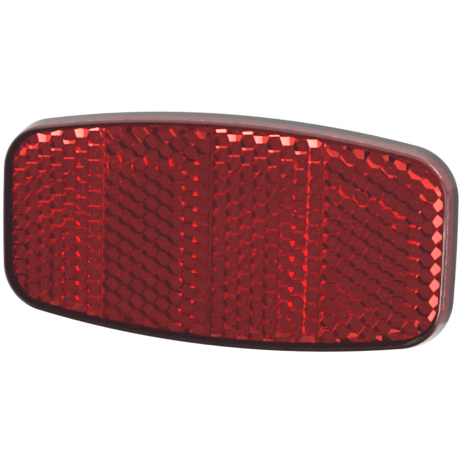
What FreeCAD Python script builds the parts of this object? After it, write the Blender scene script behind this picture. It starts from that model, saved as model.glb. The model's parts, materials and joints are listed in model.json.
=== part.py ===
import FreeCAD, Part
import math
import os

V = FreeCAD.Vector

# Driving dimensions in millimetres and degrees
# +Z is up, the lens faces -Y, and the origin lies midway between the studs on the mounting plane

# Front face of the lens: two long bowed edges, two short bowed ends and four rounded corners
front_width = 108.0
front_height = 52.7
long_edge_radius = 247.0
short_edge_radius = 370.0
corner_radius = 11.0

# Lens shell: a moulded cap whose side wall flares towards its open back
lens_depth = 6.0
wall_flare = 1.2
inner_flare = 0.6
lens_wall = 2.1
front_plate = 1.5
front_edge_radius = 1.0

# Cube-corner prisms behind the front plate, in upright zones of whole columns
cell_flats = 3.66
zone_columns = (7, 8, 8, 8)
zone_gap = 0.4
row_shift = 0.15
column_shift = -0.4
prism_land = 0.1

# Back plate: closes the lens and carries the studs
plate_thickness = 1.45
plate_setback = 0.1
plate_edge_radius = 0.5
spigot_height = 1.0
spigot_width = 1.2
spigot_clearance = 0.15
boss_height = 1.6
boss_diameter = 16.0
boss_draft = 0.5

# Mounting studs: flat round head, square neck, round shank
stud_spacing = 80.0
stud_diameter = 5.0
stud_length = 14.0
stud_chamfer = 0.6
head_diameter = 10.0
head_thickness = 1.8
head_clearance = 0.2
neck_clearance = 0.1

# Depths along Y, counted forwards from the mounting plane
y_mount = 0.0
y_plate_back = y_mount - boss_height
y_rim = y_plate_back - plate_thickness
y_front = y_rim - lens_depth
y_ground = y_front + front_plate

# Arc centres of the outline, shared by every parallel outline
long_centre = front_height / 2 - long_edge_radius
short_centre = front_width / 2 - short_edge_radius


def find_corner_centre():
    """Centre of the upper right corner arc, tangent inside a long and a short edge."""
    to_long = long_edge_radius - corner_radius
    to_short = short_edge_radius - corner_radius
    apart = math.hypot(short_centre, long_centre)
    along = (to_long ** 2 - to_short ** 2 + apart ** 2) / (2 * apart)
    across = math.sqrt(to_long ** 2 - along ** 2)
    ux = short_centre / apart
    uz = -long_centre / apart
    return along * ux + across * uz, long_centre + along * uz - across * ux


corner_x, corner_z = find_corner_centre()
short_end = math.atan2(corner_z, corner_x - short_centre)
long_end = math.atan2(corner_z - long_centre, corner_x)


def outline(inset, y):
    """Closed wire parallel to the front outline, moved inwards by inset, at depth y."""
    half_turn = math.pi
    full_turn = 2 * math.pi
    long_r = long_edge_radius - inset
    short_r = short_edge_radius - inset
    corner_r = corner_radius - inset
    arcs = [
        (short_centre, 0, short_r, -short_end, short_end),
        (corner_x, corner_z, corner_r, short_end, long_end),
        (0, long_centre, long_r, long_end, half_turn - long_end),
        (-corner_x, corner_z, corner_r, half_turn - long_end, half_turn - short_end),
        (-short_centre, 0, short_r, half_turn - short_end, half_turn + short_end),
        (-corner_x, -corner_z, corner_r, half_turn + short_end, half_turn + long_end),
        (0, -long_centre, long_r, half_turn + long_end, full_turn - long_end),
        (corner_x, -corner_z, corner_r, full_turn - long_end, full_turn - short_end),
    ]
    edges = []
    for cx, cz, r, start, end in arcs:
        points = []
        for angle in (start, (start + end) / 2, end):
            points.append(V(cx + r * math.cos(angle), y, cz + r * math.sin(angle)))
        edges.append(Part.Arc(*points).toShape())
    return Part.Wire(edges)


def tapered(front_inset, y_start, back_inset, y_end):
    """Solid between two parallel outlines at two depths."""
    return Part.makeLoft([outline(front_inset, y_start), outline(back_inset, y_end)], True, True)


def straight(inset, y_start, y_end):
    """Solid with the same outline all along its depth."""
    return Part.Face(outline(inset, y_start)).extrude(V(0, y_end - y_start, 0))


def edges_at(shape, y):
    """Edges of a shape that lie wholly at one depth."""
    found = []
    for edge in shape.Edges:
        if abs(edge.BoundBox.YMin - y) < 1e-6 and abs(edge.BoundBox.YMax - y) < 1e-6:
            found.append(edge)
    return found


def wall_inset(depth):
    """Inset of the lens's inner wall at a depth behind the front face."""
    return lens_wall - inner_flare * depth / lens_depth


# Lens shell: flared block with a rounded front edge, hollowed from the back
lens_block = tapered(0, y_front, -wall_flare, y_rim)
lens_block = lens_block.makeFillet(front_edge_radius, edges_at(lens_block, y_front))
lens_cavity = tapered(wall_inset(front_plate), y_ground, wall_inset(lens_depth), y_rim)
lens_shell = lens_block.cut(lens_cavity)

# Prism cell: a hexagonal pin that ends in the corner of a cube
cell_side = cell_flats / math.sqrt(3)
column_pitch = 1.5 * cell_side
pin_blank = 3 * cell_side
edge_lean = math.atan(math.sqrt(2))


def hexagon_corners(cx, y, cz):
    """Corners of a flat-topped hexagonal cell."""
    corners = []
    for step in range(6):
        angle = math.radians(60 * step)
        corners.append(V(cx + cell_side * math.cos(angle), y, cz + cell_side * math.sin(angle)))
    return corners


def cube_corner(first_edge):
    """Cube with one corner at the origin and its diagonal along -Y."""
    across = math.sin(edge_lean)
    edges = []
    for step in range(3):
        angle = math.radians(first_edge + 120 * step)
        edges.append(V(across * math.cos(angle), -math.cos(edge_lean), across * math.sin(angle)))
    cube = Part.makeBox(2 * pin_blank, 2 * pin_blank, 2 * pin_blank)
    cube.Placement = FreeCAD.Placement(V(0, 0, 0), FreeCAD.Rotation(*edges, "XYZ"))
    return cube


def prism_pin(first_edge):
    """Hexagonal pin along Y with a cube corner at its back end, apex at the origin."""
    corners = hexagon_corners(0, -pin_blank, 0)
    blank = Part.Face(Part.makePolygon(corners + corners[:1])).extrude(V(0, pin_blank, 0))
    return blank.common(cube_corner(first_edge))


# Even zones have the odd zones' cubes turned by half a turn
pin_kinds = (prism_pin(180), prism_pin(0))
cube_rise = math.sqrt(2) * cell_side
y_apex = y_ground + prism_land + cube_rise

# The array: zones of whole columns, filled up at their straight sides
# The prisms run into the side wall, so their field ends in the middle of it
zone_widths = [(count - 1) * column_pitch + 2 * cell_side for count in zone_columns]
array_width = sum(zone_widths) + zone_gap * (len(zone_columns) - 1)
row_count = math.ceil(front_height / cell_flats / 2) + 1
root_depth = front_plate / 2
y_root = y_front + root_depth
array_block = tapered(wall_inset(root_depth) - lens_wall / 2, y_root,
                      wall_inset(lens_depth) - lens_wall / 2, y_rim)

zones = []
zone_start = column_shift - array_width / 2
for zone, count in enumerate(zone_columns):
    pins = []
    for column in range(-1, count + 1):
        cx = zone_start + cell_side + column * column_pitch
        stagger = cell_flats / 2 if (count - column) % 2 else 0
        for row in range(-row_count, row_count + 1):
            cell = pin_kinds[zone % 2].copy()
            cell.translate(V(cx, y_apex, row_shift + stagger + row * cell_flats))
            pins.append(cell)
    zone_end = zone_start + zone_widths[zone]
    block_start = zone_start if zone else -front_width / 2
    block_end = zone_end if zone < len(zone_columns) - 1 else front_width / 2
    zone_block = Part.makeBox(block_end - block_start, lens_depth, 2 * front_height,
                              V(block_start, y_root, -front_height))
    zones.append(pins[0].multiFuse(pins[1:]).common(zone_block).common(array_block))
    zone_start = zone_end + zone_gap

lens = lens_shell.multiFuse(zones)

# Back plate: flat plate behind the lens's rim, with a locating spigot inside the wall
plate_inset = plate_setback - wall_flare
back_plate = straight(plate_inset, y_rim, y_plate_back)
back_plate = back_plate.makeFillet(plate_edge_radius, edges_at(back_plate, y_plate_back))
spigot_inset = wall_inset(lens_depth - spigot_height) + spigot_clearance
y_spigot = y_rim - spigot_height
spigot = straight(spigot_inset, y_spigot, y_rim)
spigot = spigot.cut(straight(spigot_inset + spigot_width, y_spigot, y_rim))
back_plate = back_plate.fuse(spigot)

# Bosses, each with a recess for the stud's head and a square hole for its neck
stud_places = (-stud_spacing / 2, stud_spacing / 2)
y_seat = y_rim + head_thickness
y_back = V(0, 1, 0)
neck_hole = stud_diameter + 2 * neck_clearance
for x in stud_places:
    boss = Part.makeCone(boss_diameter / 2 + boss_draft, boss_diameter / 2, boss_height,
                         V(x, y_plate_back, 0), y_back)
    back_plate = back_plate.fuse(boss)
for x in stud_places:
    recess = Part.makeCylinder(head_diameter / 2 + head_clearance, head_thickness, V(x, y_rim, 0), y_back)
    hole = Part.makeBox(neck_hole, y_mount - y_seat, neck_hole,
                        V(x - neck_hole / 2, y_seat, -neck_hole / 2))
    back_plate = back_plate.cut(recess).cut(hole)


def mounting_stud(x):
    """Stud with its head seated in the boss and its shank standing out behind the mounting plane."""
    head = Part.makeCylinder(head_diameter / 2, head_thickness, V(x, y_rim, 0), y_back)
    neck = Part.makeBox(stud_diameter, y_mount - y_seat, stud_diameter,
                        V(x - stud_diameter / 2, y_seat, -stud_diameter / 2))
    plain = stud_length - stud_chamfer
    shank = Part.makeCylinder(stud_diameter / 2, plain, V(x, y_mount, 0), y_back)
    tip = Part.makeCone(stud_diameter / 2, stud_diameter / 2 - stud_chamfer, stud_chamfer,
                        V(x, y_mount + plain, 0), y_back)
    return head.fuse([neck, shank, tip]).removeSplitter()


studs = Part.makeCompound([mounting_stud(x) for x in stud_places])

os.makedirs("parts", exist_ok=True)
lens.exportStep("parts/lens.step")
back_plate.removeSplitter().exportStep("parts/back_plate.step")
studs.exportStep("parts/mounting_studs.step")
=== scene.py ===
import json
import math

import bpy
from mathutils import Matrix, Vector


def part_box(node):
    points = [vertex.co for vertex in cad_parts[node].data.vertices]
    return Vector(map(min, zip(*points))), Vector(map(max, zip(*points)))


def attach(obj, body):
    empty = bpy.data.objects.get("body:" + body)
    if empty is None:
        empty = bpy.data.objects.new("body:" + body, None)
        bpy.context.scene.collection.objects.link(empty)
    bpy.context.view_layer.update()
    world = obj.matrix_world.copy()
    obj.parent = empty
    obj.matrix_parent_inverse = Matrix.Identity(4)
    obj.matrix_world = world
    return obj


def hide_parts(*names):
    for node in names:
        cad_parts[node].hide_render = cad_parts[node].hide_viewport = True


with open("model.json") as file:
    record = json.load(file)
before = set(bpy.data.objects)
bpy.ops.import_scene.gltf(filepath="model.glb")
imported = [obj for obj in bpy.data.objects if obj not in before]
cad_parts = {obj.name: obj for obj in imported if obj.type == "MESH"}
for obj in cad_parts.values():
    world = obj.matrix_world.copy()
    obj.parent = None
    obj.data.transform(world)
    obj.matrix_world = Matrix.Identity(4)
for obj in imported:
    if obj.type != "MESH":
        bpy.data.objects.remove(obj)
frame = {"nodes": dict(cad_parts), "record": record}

scene = bpy.context.scene
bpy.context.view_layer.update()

# Mounting studs: two steel studs with a flat round head, a square neck and a rolled M5 thread.
# The heads are trapped between the plate and the lens, and the necks keep them from turning.
# They are zinc plated, so the steel is pale and a little cloudy.
studs_low, studs_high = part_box("mounting_studs")
head_radius = studs_high.z
head_front = studs_low.y
head_thickness = 0.0018
head_edge = 0.0003
stud_places = (studs_low.x + head_radius, studs_high.x - head_radius)
stud_crease = 25
thread_radius = frame["record"]["mounts"][0]["dims"]["stud_r_mm"] / 1000
thread_pitch = 0.0008
thread_depth = 0.00043
thread_flat = thread_pitch / 8
thread_merge = thread_flat / 10
thread_facets = 24
spare_turns = 3
tip_chamfer = 0.0006
same_place = 1e-6


def pick_only(obj):
    """Leave one object selected and active."""
    bpy.ops.object.select_all(action="DESELECT")
    obj.select_set(True)
    bpy.context.view_layer.objects.active = obj


def edit_all(obj):
    """Open an object's mesh for editing with everything in it selected."""
    pick_only(obj)
    bpy.ops.object.mode_set(mode="EDIT")
    bpy.ops.mesh.select_all(action="SELECT")


def close_edit():
    """Go back from editing a mesh."""
    bpy.ops.object.mode_set(mode="OBJECT")


def settle(obj):
    """Put an object's place, turn and size into its mesh."""
    pick_only(obj)
    bpy.ops.object.transform_apply(location=True, rotation=True, scale=True)


def combine(obj, tool, operation):
    """Join a tool to an object, or keep what both share, and remove the tool."""
    pick_only(obj)
    modifier = obj.modifiers.new("combine", "BOOLEAN")
    modifier.operation = operation
    modifier.object = tool
    modifier.solver = "EXACT"
    bpy.ops.object.modifier_apply(modifier=modifier.name)
    bpy.data.objects.remove(tool)


def round_rod(name, radius, start, end, sides):
    """A rod along Y between two depths."""
    bpy.ops.object.select_all(action="DESELECT")
    bpy.ops.mesh.primitive_cylinder_add(vertices=sides, radius=radius, depth=end - start,
                                        location=(0, (start + end) / 2, 0),
                                        rotation=(math.radians(90), 0, 0))
    rod = bpy.context.object
    rod.name = name
    settle(rod)
    return rod


def pick_edges_at(obj, depth):
    """Select the edges that lie wholly at one depth, in object mode."""
    for face in obj.data.polygons:
        face.select = False
    for vertex in obj.data.vertices:
        vertex.select = False
    for edge in obj.data.edges:
        edge.select = all(abs(obj.data.vertices[i].co.y - depth) < same_place for i in edge.vertices)


def bevel_end(obj, depth, width, segments):
    """Bevel the rim of a rod's end."""
    pick_only(obj)
    bpy.ops.object.mode_set(mode="EDIT")
    bpy.ops.mesh.select_mode(type="EDGE")
    bpy.ops.mesh.select_all(action="DESELECT")
    bpy.ops.object.mode_set(mode="OBJECT")
    pick_edges_at(obj, depth)
    bpy.ops.object.mode_set(mode="EDIT")
    bpy.ops.mesh.bevel(offset=width, offset_type="OFFSET", segments=segments)
    close_edit()


# The thread starts as one tooth's outline, is wound up by a screw and cut square at both ends
bpy.ops.object.select_all(action="DESELECT")
bpy.ops.mesh.primitive_plane_add(size=thread_pitch, location=(0, 0, 0))
stud = bpy.context.object
stud.name = "mounting_studs_threaded"
edit_all(stud)
bpy.ops.mesh.merge(type="CENTER")
bpy.ops.transform.translate(value=(thread_radius - thread_depth, -spare_turns * thread_pitch, 0))
flank = (thread_pitch - 3 * thread_flat) / 2
for across, along in ((thread_depth, flank), (0, thread_flat), (-thread_depth, flank), (0, 2 * thread_flat)):
    bpy.ops.mesh.extrude_region_move(TRANSFORM_OT_translate={"value": (across, along, 0)})
close_edit()
winding = stud.modifiers.new("winding", "SCREW")
winding.axis = "Y"
winding.screw_offset = thread_pitch
winding.iterations = math.ceil(studs_high.y / thread_pitch) + 2 * spare_turns
winding.steps = thread_facets
winding.render_steps = thread_facets
bpy.ops.object.modifier_apply(modifier=winding.name)
edit_all(stud)
bpy.ops.mesh.remove_doubles(threshold=thread_merge)
close_edit()
stud.rotation_euler.y = math.pi / thread_facets
settle(stud)
for depth, outwards in ((-thread_pitch, -1), (studs_high.y + thread_pitch, 1)):
    edit_all(stud)
    bpy.ops.mesh.bisect(plane_co=(0, depth, 0), plane_no=(0, outwards, 0), use_fill=True, clear_outer=True)
    close_edit()
edit_all(stud)
bpy.ops.mesh.normals_make_consistent(inside=False)
close_edit()
tip = round_rod("tip", thread_radius + thread_depth, -2 * thread_pitch, studs_high.y, 2 * thread_facets)
bevel_end(tip, studs_high.y, tip_chamfer + thread_depth, segments=1)
combine(stud, tip, "INTERSECT")

# Neck and head join the threaded shank
neck_start = head_front + head_thickness / 2
bpy.ops.object.select_all(action="DESELECT")
bpy.ops.mesh.primitive_cube_add(size=2 * thread_radius)
neck = bpy.context.object
neck.scale.y = -neck_start / (2 * thread_radius)
neck.location.y = neck_start / 2
settle(neck)
head = round_rod("head", head_radius, head_front, head_front + head_thickness, 2 * thread_facets)
bevel_end(head, head_front, head_edge, segments=2)
combine(stud, neck, "UNION")
combine(stud, head, "UNION")

# The second stud is a copy of the first, and both are one piece in two places
pick_only(stud)
bpy.ops.object.duplicate()
second_stud = bpy.context.object
for piece, place in zip((stud, second_stud), stud_places):
    piece.location.x = place
    settle(piece)
pick_only(stud)
second_stud.select_set(True)
bpy.ops.object.join()
bpy.ops.object.shade_smooth_by_angle(angle=math.radians(stud_crease))

# Zinc plating, cloudy in tone and in gloss
zinc_dark = (0.50, 0.50, 0.49)
zinc_light = (0.68, 0.67, 0.63)
zinc_cloud_scale = 900
zinc_gloss_scale = 2500
zinc_roughness = (0.24, 0.42)
noise_range = (0.3, 0.7)


def new_finish(name):
    """A fresh material with its nodes, links and main shader."""
    material = bpy.data.materials.new(name)
    material.use_nodes = True
    nodes = material.node_tree.nodes
    return material, nodes, material.node_tree.links, nodes["Principled BSDF"]


def noise(nodes, links, scale, detail):
    """Noise on the piece's own coordinates."""
    place = nodes.new("ShaderNodeTexCoord")
    texture = nodes.new("ShaderNodeTexNoise")
    texture.inputs["Scale"].default_value = scale
    texture.inputs["Detail"].default_value = detail
    links.new(place.outputs["Object"], texture.inputs["Vector"])
    return texture.outputs["Fac"]


def spread(nodes, links, value, low, high):
    """Map noise to a range of one value."""
    ranger = nodes.new("ShaderNodeMapRange")
    ranger.inputs["From Min"].default_value = noise_range[0]
    ranger.inputs["From Max"].default_value = noise_range[1]
    ranger.inputs["To Min"].default_value = low
    ranger.inputs["To Max"].default_value = high
    links.new(value, ranger.inputs["Value"])
    return ranger.outputs["Result"]


def shade(nodes, links, value, dark, light):
    """Blend two near colours by noise."""
    ramp = nodes.new("ShaderNodeValToRGB")
    for stop, position, colour in zip(ramp.color_ramp.elements, noise_range, (dark, light)):
        stop.position = position
        stop.color = (*colour, 1)
    links.new(value, ramp.inputs["Fac"])
    return ramp.outputs["Color"]


zinc, nodes, links, shader = new_finish("zinc_plated_steel")
shader.inputs["Metallic"].default_value = 1
zinc_cloud = noise(nodes, links, zinc_cloud_scale, detail=4)
links.new(shade(nodes, links, zinc_cloud, zinc_dark, zinc_light), shader.inputs["Base Color"])
zinc_gloss = noise(nodes, links, zinc_gloss_scale, detail=3)
links.new(spread(nodes, links, zinc_gloss, *zinc_roughness), shader.inputs["Roughness"])
stud.data.materials.clear()
stud.data.materials.append(zinc)
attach(stud, "root")
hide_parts("mounting_studs")

# Back plate: a flat moulding in black plastic that closes the lens and carries the studs in two bosses.
# A low spigot finds its place inside the lens's wall, and the lens's rim is welded to it.
# Its outside has the fine matt grain of a spark-eroded mould.
plate_crease = 25
black_dark = (0.026, 0.026, 0.027)
black_light = (0.037, 0.037, 0.039)
black_cloud_scale = 260
grain_scale = 5200
grain_roughness = (0.42, 0.6)
grain_depth = 0.00004
grain_strength = 0.5


def dress_copy(node, name, crease):
    """A merged copy of a CAD node's mesh, smooth where its faces meet gently."""
    piece = frame["nodes"][node].copy()
    piece.data = piece.data.copy()
    piece.name = name
    for key in list(piece.keys()):
        del piece[key]
    piece.parent = None
    scene.collection.objects.link(piece)
    edit_all(piece)
    bpy.ops.mesh.remove_doubles(threshold=same_place)
    close_edit()
    bpy.ops.mesh.customdata_custom_splitnormals_clear()
    bpy.ops.object.shade_smooth_by_angle(angle=math.radians(crease), keep_sharp_edges=False)
    piece.data.materials.clear()
    return piece


plate = dress_copy("back_plate", "back_plate_moulding", plate_crease)
black_plastic, nodes, links, shader = new_finish("grained_black_plastic")
grain = noise(nodes, links, grain_scale, detail=3)
black_cloud = noise(nodes, links, black_cloud_scale, detail=4)
links.new(shade(nodes, links, black_cloud, black_dark, black_light), shader.inputs["Base Color"])
links.new(spread(nodes, links, grain, *grain_roughness), shader.inputs["Roughness"])
relief = nodes.new("ShaderNodeBump")
relief.inputs["Distance"].default_value = grain_depth
relief.inputs["Strength"].default_value = grain_strength
links.new(grain, relief.inputs["Height"])
links.new(relief.outputs["Normal"], shader.inputs["Normal"])
plate.data.materials.append(black_plastic)
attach(plate, "root")
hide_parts("back_plate")

# Lens: one moulding in clear red plastic, a flared cap with a flat polished front and a rounded edge.
# Cube-corner prisms in four upright zones stand behind its front and send light back to where it came from.
# The plastic is dyed right through, so long paths in it are deeper red, and its side walls are left hazy.
lens_crease = 12
lens_ior = 1.585
clarity = 0.971
polish_scale = 320
polish_roughness = (0.01, 0.04)
side_roughness = 0.12
step_haze = 0.35
tint_scale = 60
tint_dark = (0.89, 0.27, 0.215)
tint_light = (0.95, 0.31, 0.245)
# The next colour is painted shade: a darker, duller red for the outer side walls and the rounded edge
painted_wall_shade = (0.72, 0.17, 0.2)
dye_colour = (0.95, 0.12, 0)
dye_density = 250
moulded_edge_radius = 0.00005
moulded_edge_samples = 4
lens = dress_copy("lens", "lens_moulding", lens_crease)
red_plastic, nodes, links, shader = new_finish("clear_red_plastic")
shader.inputs["IOR"].default_value = lens_ior


def ramp_between(nodes, links, value, start, end):
    """Nothing before the start of a range, one after its end."""
    ranger = nodes.new("ShaderNodeMapRange")
    ranger.inputs["From Min"].default_value = start
    ranger.inputs["From Max"].default_value = end
    links.new(value, ranger.inputs["Value"])
    return ranger.outputs["Result"]


def calculate(nodes, links, operation, first, second):
    """One sum on two values, each a socket or a number."""
    sum_node = nodes.new("ShaderNodeMath")
    sum_node.operation = operation
    for place, value in enumerate((first, second)):
        if isinstance(value, (int, float)):
            sum_node.inputs[place].default_value = value
        else:
            links.new(value, sum_node.inputs[place])
    return sum_node.outputs[0]


# How far a surface faces backwards tells what it is: the front has -1, its rounded edge and the outer
# wall come next, the inner wall and the steps between the zones lie about 0, and the prisms have 0.58
edge_start, edge_end = -0.98, -0.7
wall_end, wall_out = -0.15, -0.05
steps_start = 0
steps_end, steps_out = 0.3, 0.45
surface = nodes.new("ShaderNodeNewGeometry")
facing = nodes.new("ShaderNodeSeparateXYZ")
links.new(surface.outputs["True Normal"], facing.inputs["Vector"])
twice_inside = calculate(nodes, links, "MULTIPLY", surface.outputs["Backfacing"], 2)
side = calculate(nodes, links, "SUBTRACT", 1, twice_inside)
facing_back = calculate(nodes, links, "MULTIPLY", facing.outputs["Y"], side)
wall = calculate(nodes, links, "MULTIPLY", ramp_between(nodes, links, facing_back, edge_start, edge_end),
                 ramp_between(nodes, links, facing_back, wall_out, wall_end))
steps = calculate(nodes, links, "MULTIPLY", ramp_between(nodes, links, facing_back, wall_out, steps_start),
                  ramp_between(nodes, links, facing_back, steps_out, steps_end))

# Side walls are satin and the rest is polished, and the inner wall and the steps are hazy
polish = spread(nodes, links, noise(nodes, links, polish_scale, detail=4), *polish_roughness)
sides = calculate(nodes, links, "MAXIMUM", wall, steps)
satin = calculate(nodes, links, "MULTIPLY", sides, side_roughness)
links.new(calculate(nodes, links, "ADD", polish, satin), shader.inputs["Roughness"])
haze = calculate(nodes, links, "MULTIPLY", steps, step_haze)
links.new(calculate(nodes, links, "SUBTRACT", clarity, haze), shader.inputs["Transmission Weight"])
# Base colour: a red that varies a little at random, with painted shade on the outer side walls and the
# rounded edge, which get a darker, duller red
tone_and_painted_wall_shade = nodes.new("ShaderNodeMix")
tone_and_painted_wall_shade.data_type = "RGBA"
tint_cloud = noise(nodes, links, tint_scale, detail=2)
links.new(shade(nodes, links, tint_cloud, tint_dark, tint_light), tone_and_painted_wall_shade.inputs["A"])
tone_and_painted_wall_shade.inputs["B"].default_value = (*painted_wall_shade, 1)
links.new(wall, tone_and_painted_wall_shade.inputs["Factor"])
links.new(tone_and_painted_wall_shade.outputs["Result"], shader.inputs["Base Color"])

# Moulded edges are slightly rounded, in the shading only, which gives the cells a faint texture
rounding = nodes.new("ShaderNodeBevel")
rounding.samples = moulded_edge_samples
rounding.inputs["Radius"].default_value = moulded_edge_radius
links.new(rounding.outputs["Normal"], shader.inputs["Normal"])
dye = nodes.new("ShaderNodeVolumeAbsorption")
dye.inputs["Color"].default_value = (*dye_colour, 1)
dye.inputs["Density"].default_value = dye_density
links.new(dye.outputs["Volume"], nodes["Material Output"].inputs["Volume"])
lens.data.materials.append(red_plastic)
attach(lens, "root")
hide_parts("lens")

# Floor: a plain sheet of pale paper on a table, well below the reflector, which hangs as on its rack.
# It shows white to the camera and in clear and shiny pieces, and otherwise lights the part as paper does.
table_drop = 0.3
table_width = 2.6
table_depth = 1.75
table_front = -0.75
paper_colour = (0.6, 0.6, 0.6)
paper_roughness = 0.9
paper_glow = 0.5
white = (1, 1, 1, 1)
bpy.ops.object.select_all(action="DESELECT")
bpy.ops.mesh.primitive_plane_add(size=1, location=(0, table_front + table_depth / 2, -table_drop))
table = bpy.context.object
table.name = "white_table"
table.scale = (table_width, table_depth, 1)
settle(table)
paper, nodes, links, shader = new_finish("white_paper")
shader.inputs["Base Color"].default_value = (*paper_colour, 1)
shader.inputs["Roughness"].default_value = paper_roughness
shader.inputs["Emission Color"].default_value = white


def seen_directly(nodes, links):
    """One where a ray comes from the camera, a reflection or a clear piece, otherwise nothing."""
    path = nodes.new("ShaderNodeLightPath")
    either = calculate(nodes, links, "MAXIMUM", path.outputs["Is Camera Ray"], path.outputs["Is Glossy Ray"])
    return calculate(nodes, links, "MAXIMUM", either, path.outputs["Is Transmission Ray"])


glow = calculate(nodes, links, "MULTIPLY", seen_directly(nodes, links), paper_glow)
links.new(glow, shader.inputs["Emission Strength"])
table.data.materials.append(paper)

# Cards: dim ones round the camera, on the side that the polished front mirrors and below the lens,
# and a pale one behind its right end. They show only in reflections and through the clear plastic,
# so they take no light from the part and cast no shadow on the floor.


def card_paper(name, colour):
    """Matt paper of one colour."""
    sheet, nodes, links, shader = new_finish(name)
    shader.inputs["Base Color"].default_value = (*colour, 1)
    shader.inputs["Roughness"].default_value = 1
    return sheet


def paper_card(name, sheet, turn, rise, distance, width, height):
    """A card that faces the reflector from a direction given in degrees."""
    across = math.cos(math.radians(rise))
    towards = Vector((across * math.sin(math.radians(turn)), -across * math.cos(math.radians(turn)),
                      math.sin(math.radians(rise))))
    bpy.ops.object.select_all(action="DESELECT")
    bpy.ops.mesh.primitive_plane_add(size=1, location=towards * distance,
                                     rotation=towards.to_track_quat("Z", "Y").to_euler())
    card = bpy.context.object
    card.name = name
    card.scale = (width, height, 1)
    settle(card)
    card.visible_camera = False
    card.visible_diffuse = False
    card.visible_shadow = False
    card.data.materials.append(sheet)


grey = card_paper("grey_card_paper", (0.19, 0.18, 0.19))
blue_grey = card_paper("blue_grey_card_paper", (0.19, 0.18, 0.30))
pale = card_paper("pale_card_paper", (0.55, 0.54, 0.58))
paper_card("camera_card", blue_grey, turn=19, rise=16, distance=1.2, width=0.75, height=0.85)
paper_card("mirror_card", blue_grey, turn=-21, rise=0, distance=1.2, width=1.1, height=0.9)
paper_card("floor_card", grey, turn=0, rise=-86, distance=0.26, width=0.5, height=0.8)
paper_card("side_card", pale, turn=140, rise=-12, distance=0.6, width=0.36, height=0.36)

# Room and lamps: a white room with one large soft lamp above and four smaller soft boxes.
# The key stands behind, above and to the right, one box at the right end, and two in front.
room_light = 0.5
room_white = 1.0
mirror_bounces = 32
clear_bounces = 48
room = bpy.data.worlds.new("white_room")
scene.world = room
room.use_nodes = True
nodes = room.node_tree.nodes
links = room.node_tree.links
backdrop = nodes["Background"]
backdrop.inputs["Color"].default_value = white
level = nodes.new("ShaderNodeMapRange")
level.inputs["To Min"].default_value = room_light
level.inputs["To Max"].default_value = room_white
links.new(seen_directly(nodes, links), level.inputs["Value"])
links.new(level.outputs["Result"], backdrop.inputs["Strength"])


def soft_lamp(name, place, width, height, brightness):
    """A soft box that faces the reflector; brightness is what its face shows."""
    light = bpy.data.lights.new(name, "AREA")
    light.shape = "RECTANGLE"
    light.size = width
    light.size_y = height
    light.energy = brightness * math.pi * width * height
    lamp = bpy.data.objects.new(name, light)
    scene.collection.objects.link(lamp)
    lamp.location = place
    lamp.rotation_euler = (-Vector(place)).to_track_quat("-Z", "Y").to_euler()
    lamp.visible_camera = False


soft_lamp("top_lamp", (0, 0, 0.7), width=2.2, height=1.8, brightness=0.7)
soft_lamp("key_lamp", (0.6, 0.35, 0.58), width=0.38, height=0.38, brightness=11)
soft_lamp("right_lamp", (0.9, 0.3, -0.15), width=0.4, height=0.4, brightness=4)
soft_lamp("front_lamp", (0.8, -0.67, 0.05), width=0.6, height=0.5, brightness=2)
soft_lamp("low_lamp", (0.21, -0.55, -0.17), width=0.34, height=0.14, brightness=6)
scene.cycles.max_bounces = clear_bounces
scene.cycles.glossy_bounces = mirror_bounces
scene.cycles.transmission_bounces = clear_bounces

# Camera: in front, a little to the right and above, as in the photograph.
# Its place, its lens and the shift of its aim were fitted to the outline and to the cells.
photo_size = 460
azimuth = math.radians(18.184)
elevation = math.radians(11.756)
roll = math.radians(1.459)
camera_distance = 0.44699
focal_pixels = 1919.5
centre_right = -9.0
centre_down = 2.704
front_centre = Vector((0, -0.005325, 0))
sensor_width = 36
near_clip = 0.01
backwards = Vector((math.sin(azimuth) * math.cos(elevation), -math.cos(azimuth) * math.cos(elevation),
                    math.sin(elevation)))
level_right = Vector((math.cos(azimuth), math.sin(azimuth), 0))
level_up = backwards.cross(level_right)
right = math.cos(roll) * level_right + math.sin(roll) * level_up
up = -math.sin(roll) * level_right + math.cos(roll) * level_up
aim = -backwards * focal_pixels - centre_right * right + centre_down * up
back_axis = (-aim).normalized()
right_axis = (right - back_axis * right.dot(back_axis)).normalized()
up_axis = back_axis.cross(right_axis)
camera = bpy.data.objects.new("camera", bpy.data.cameras.new("camera"))
scene.collection.objects.link(camera)
camera.matrix_world = Matrix((right_axis, up_axis, back_axis)).transposed().to_4x4()
camera.location = front_centre + backwards * camera_distance
camera.data.sensor_width = sensor_width
camera.data.lens = focal_pixels / photo_size * sensor_width
camera.data.clip_start = near_clip
scene.camera = camera
scene.view_settings.view_transform = "Standard"
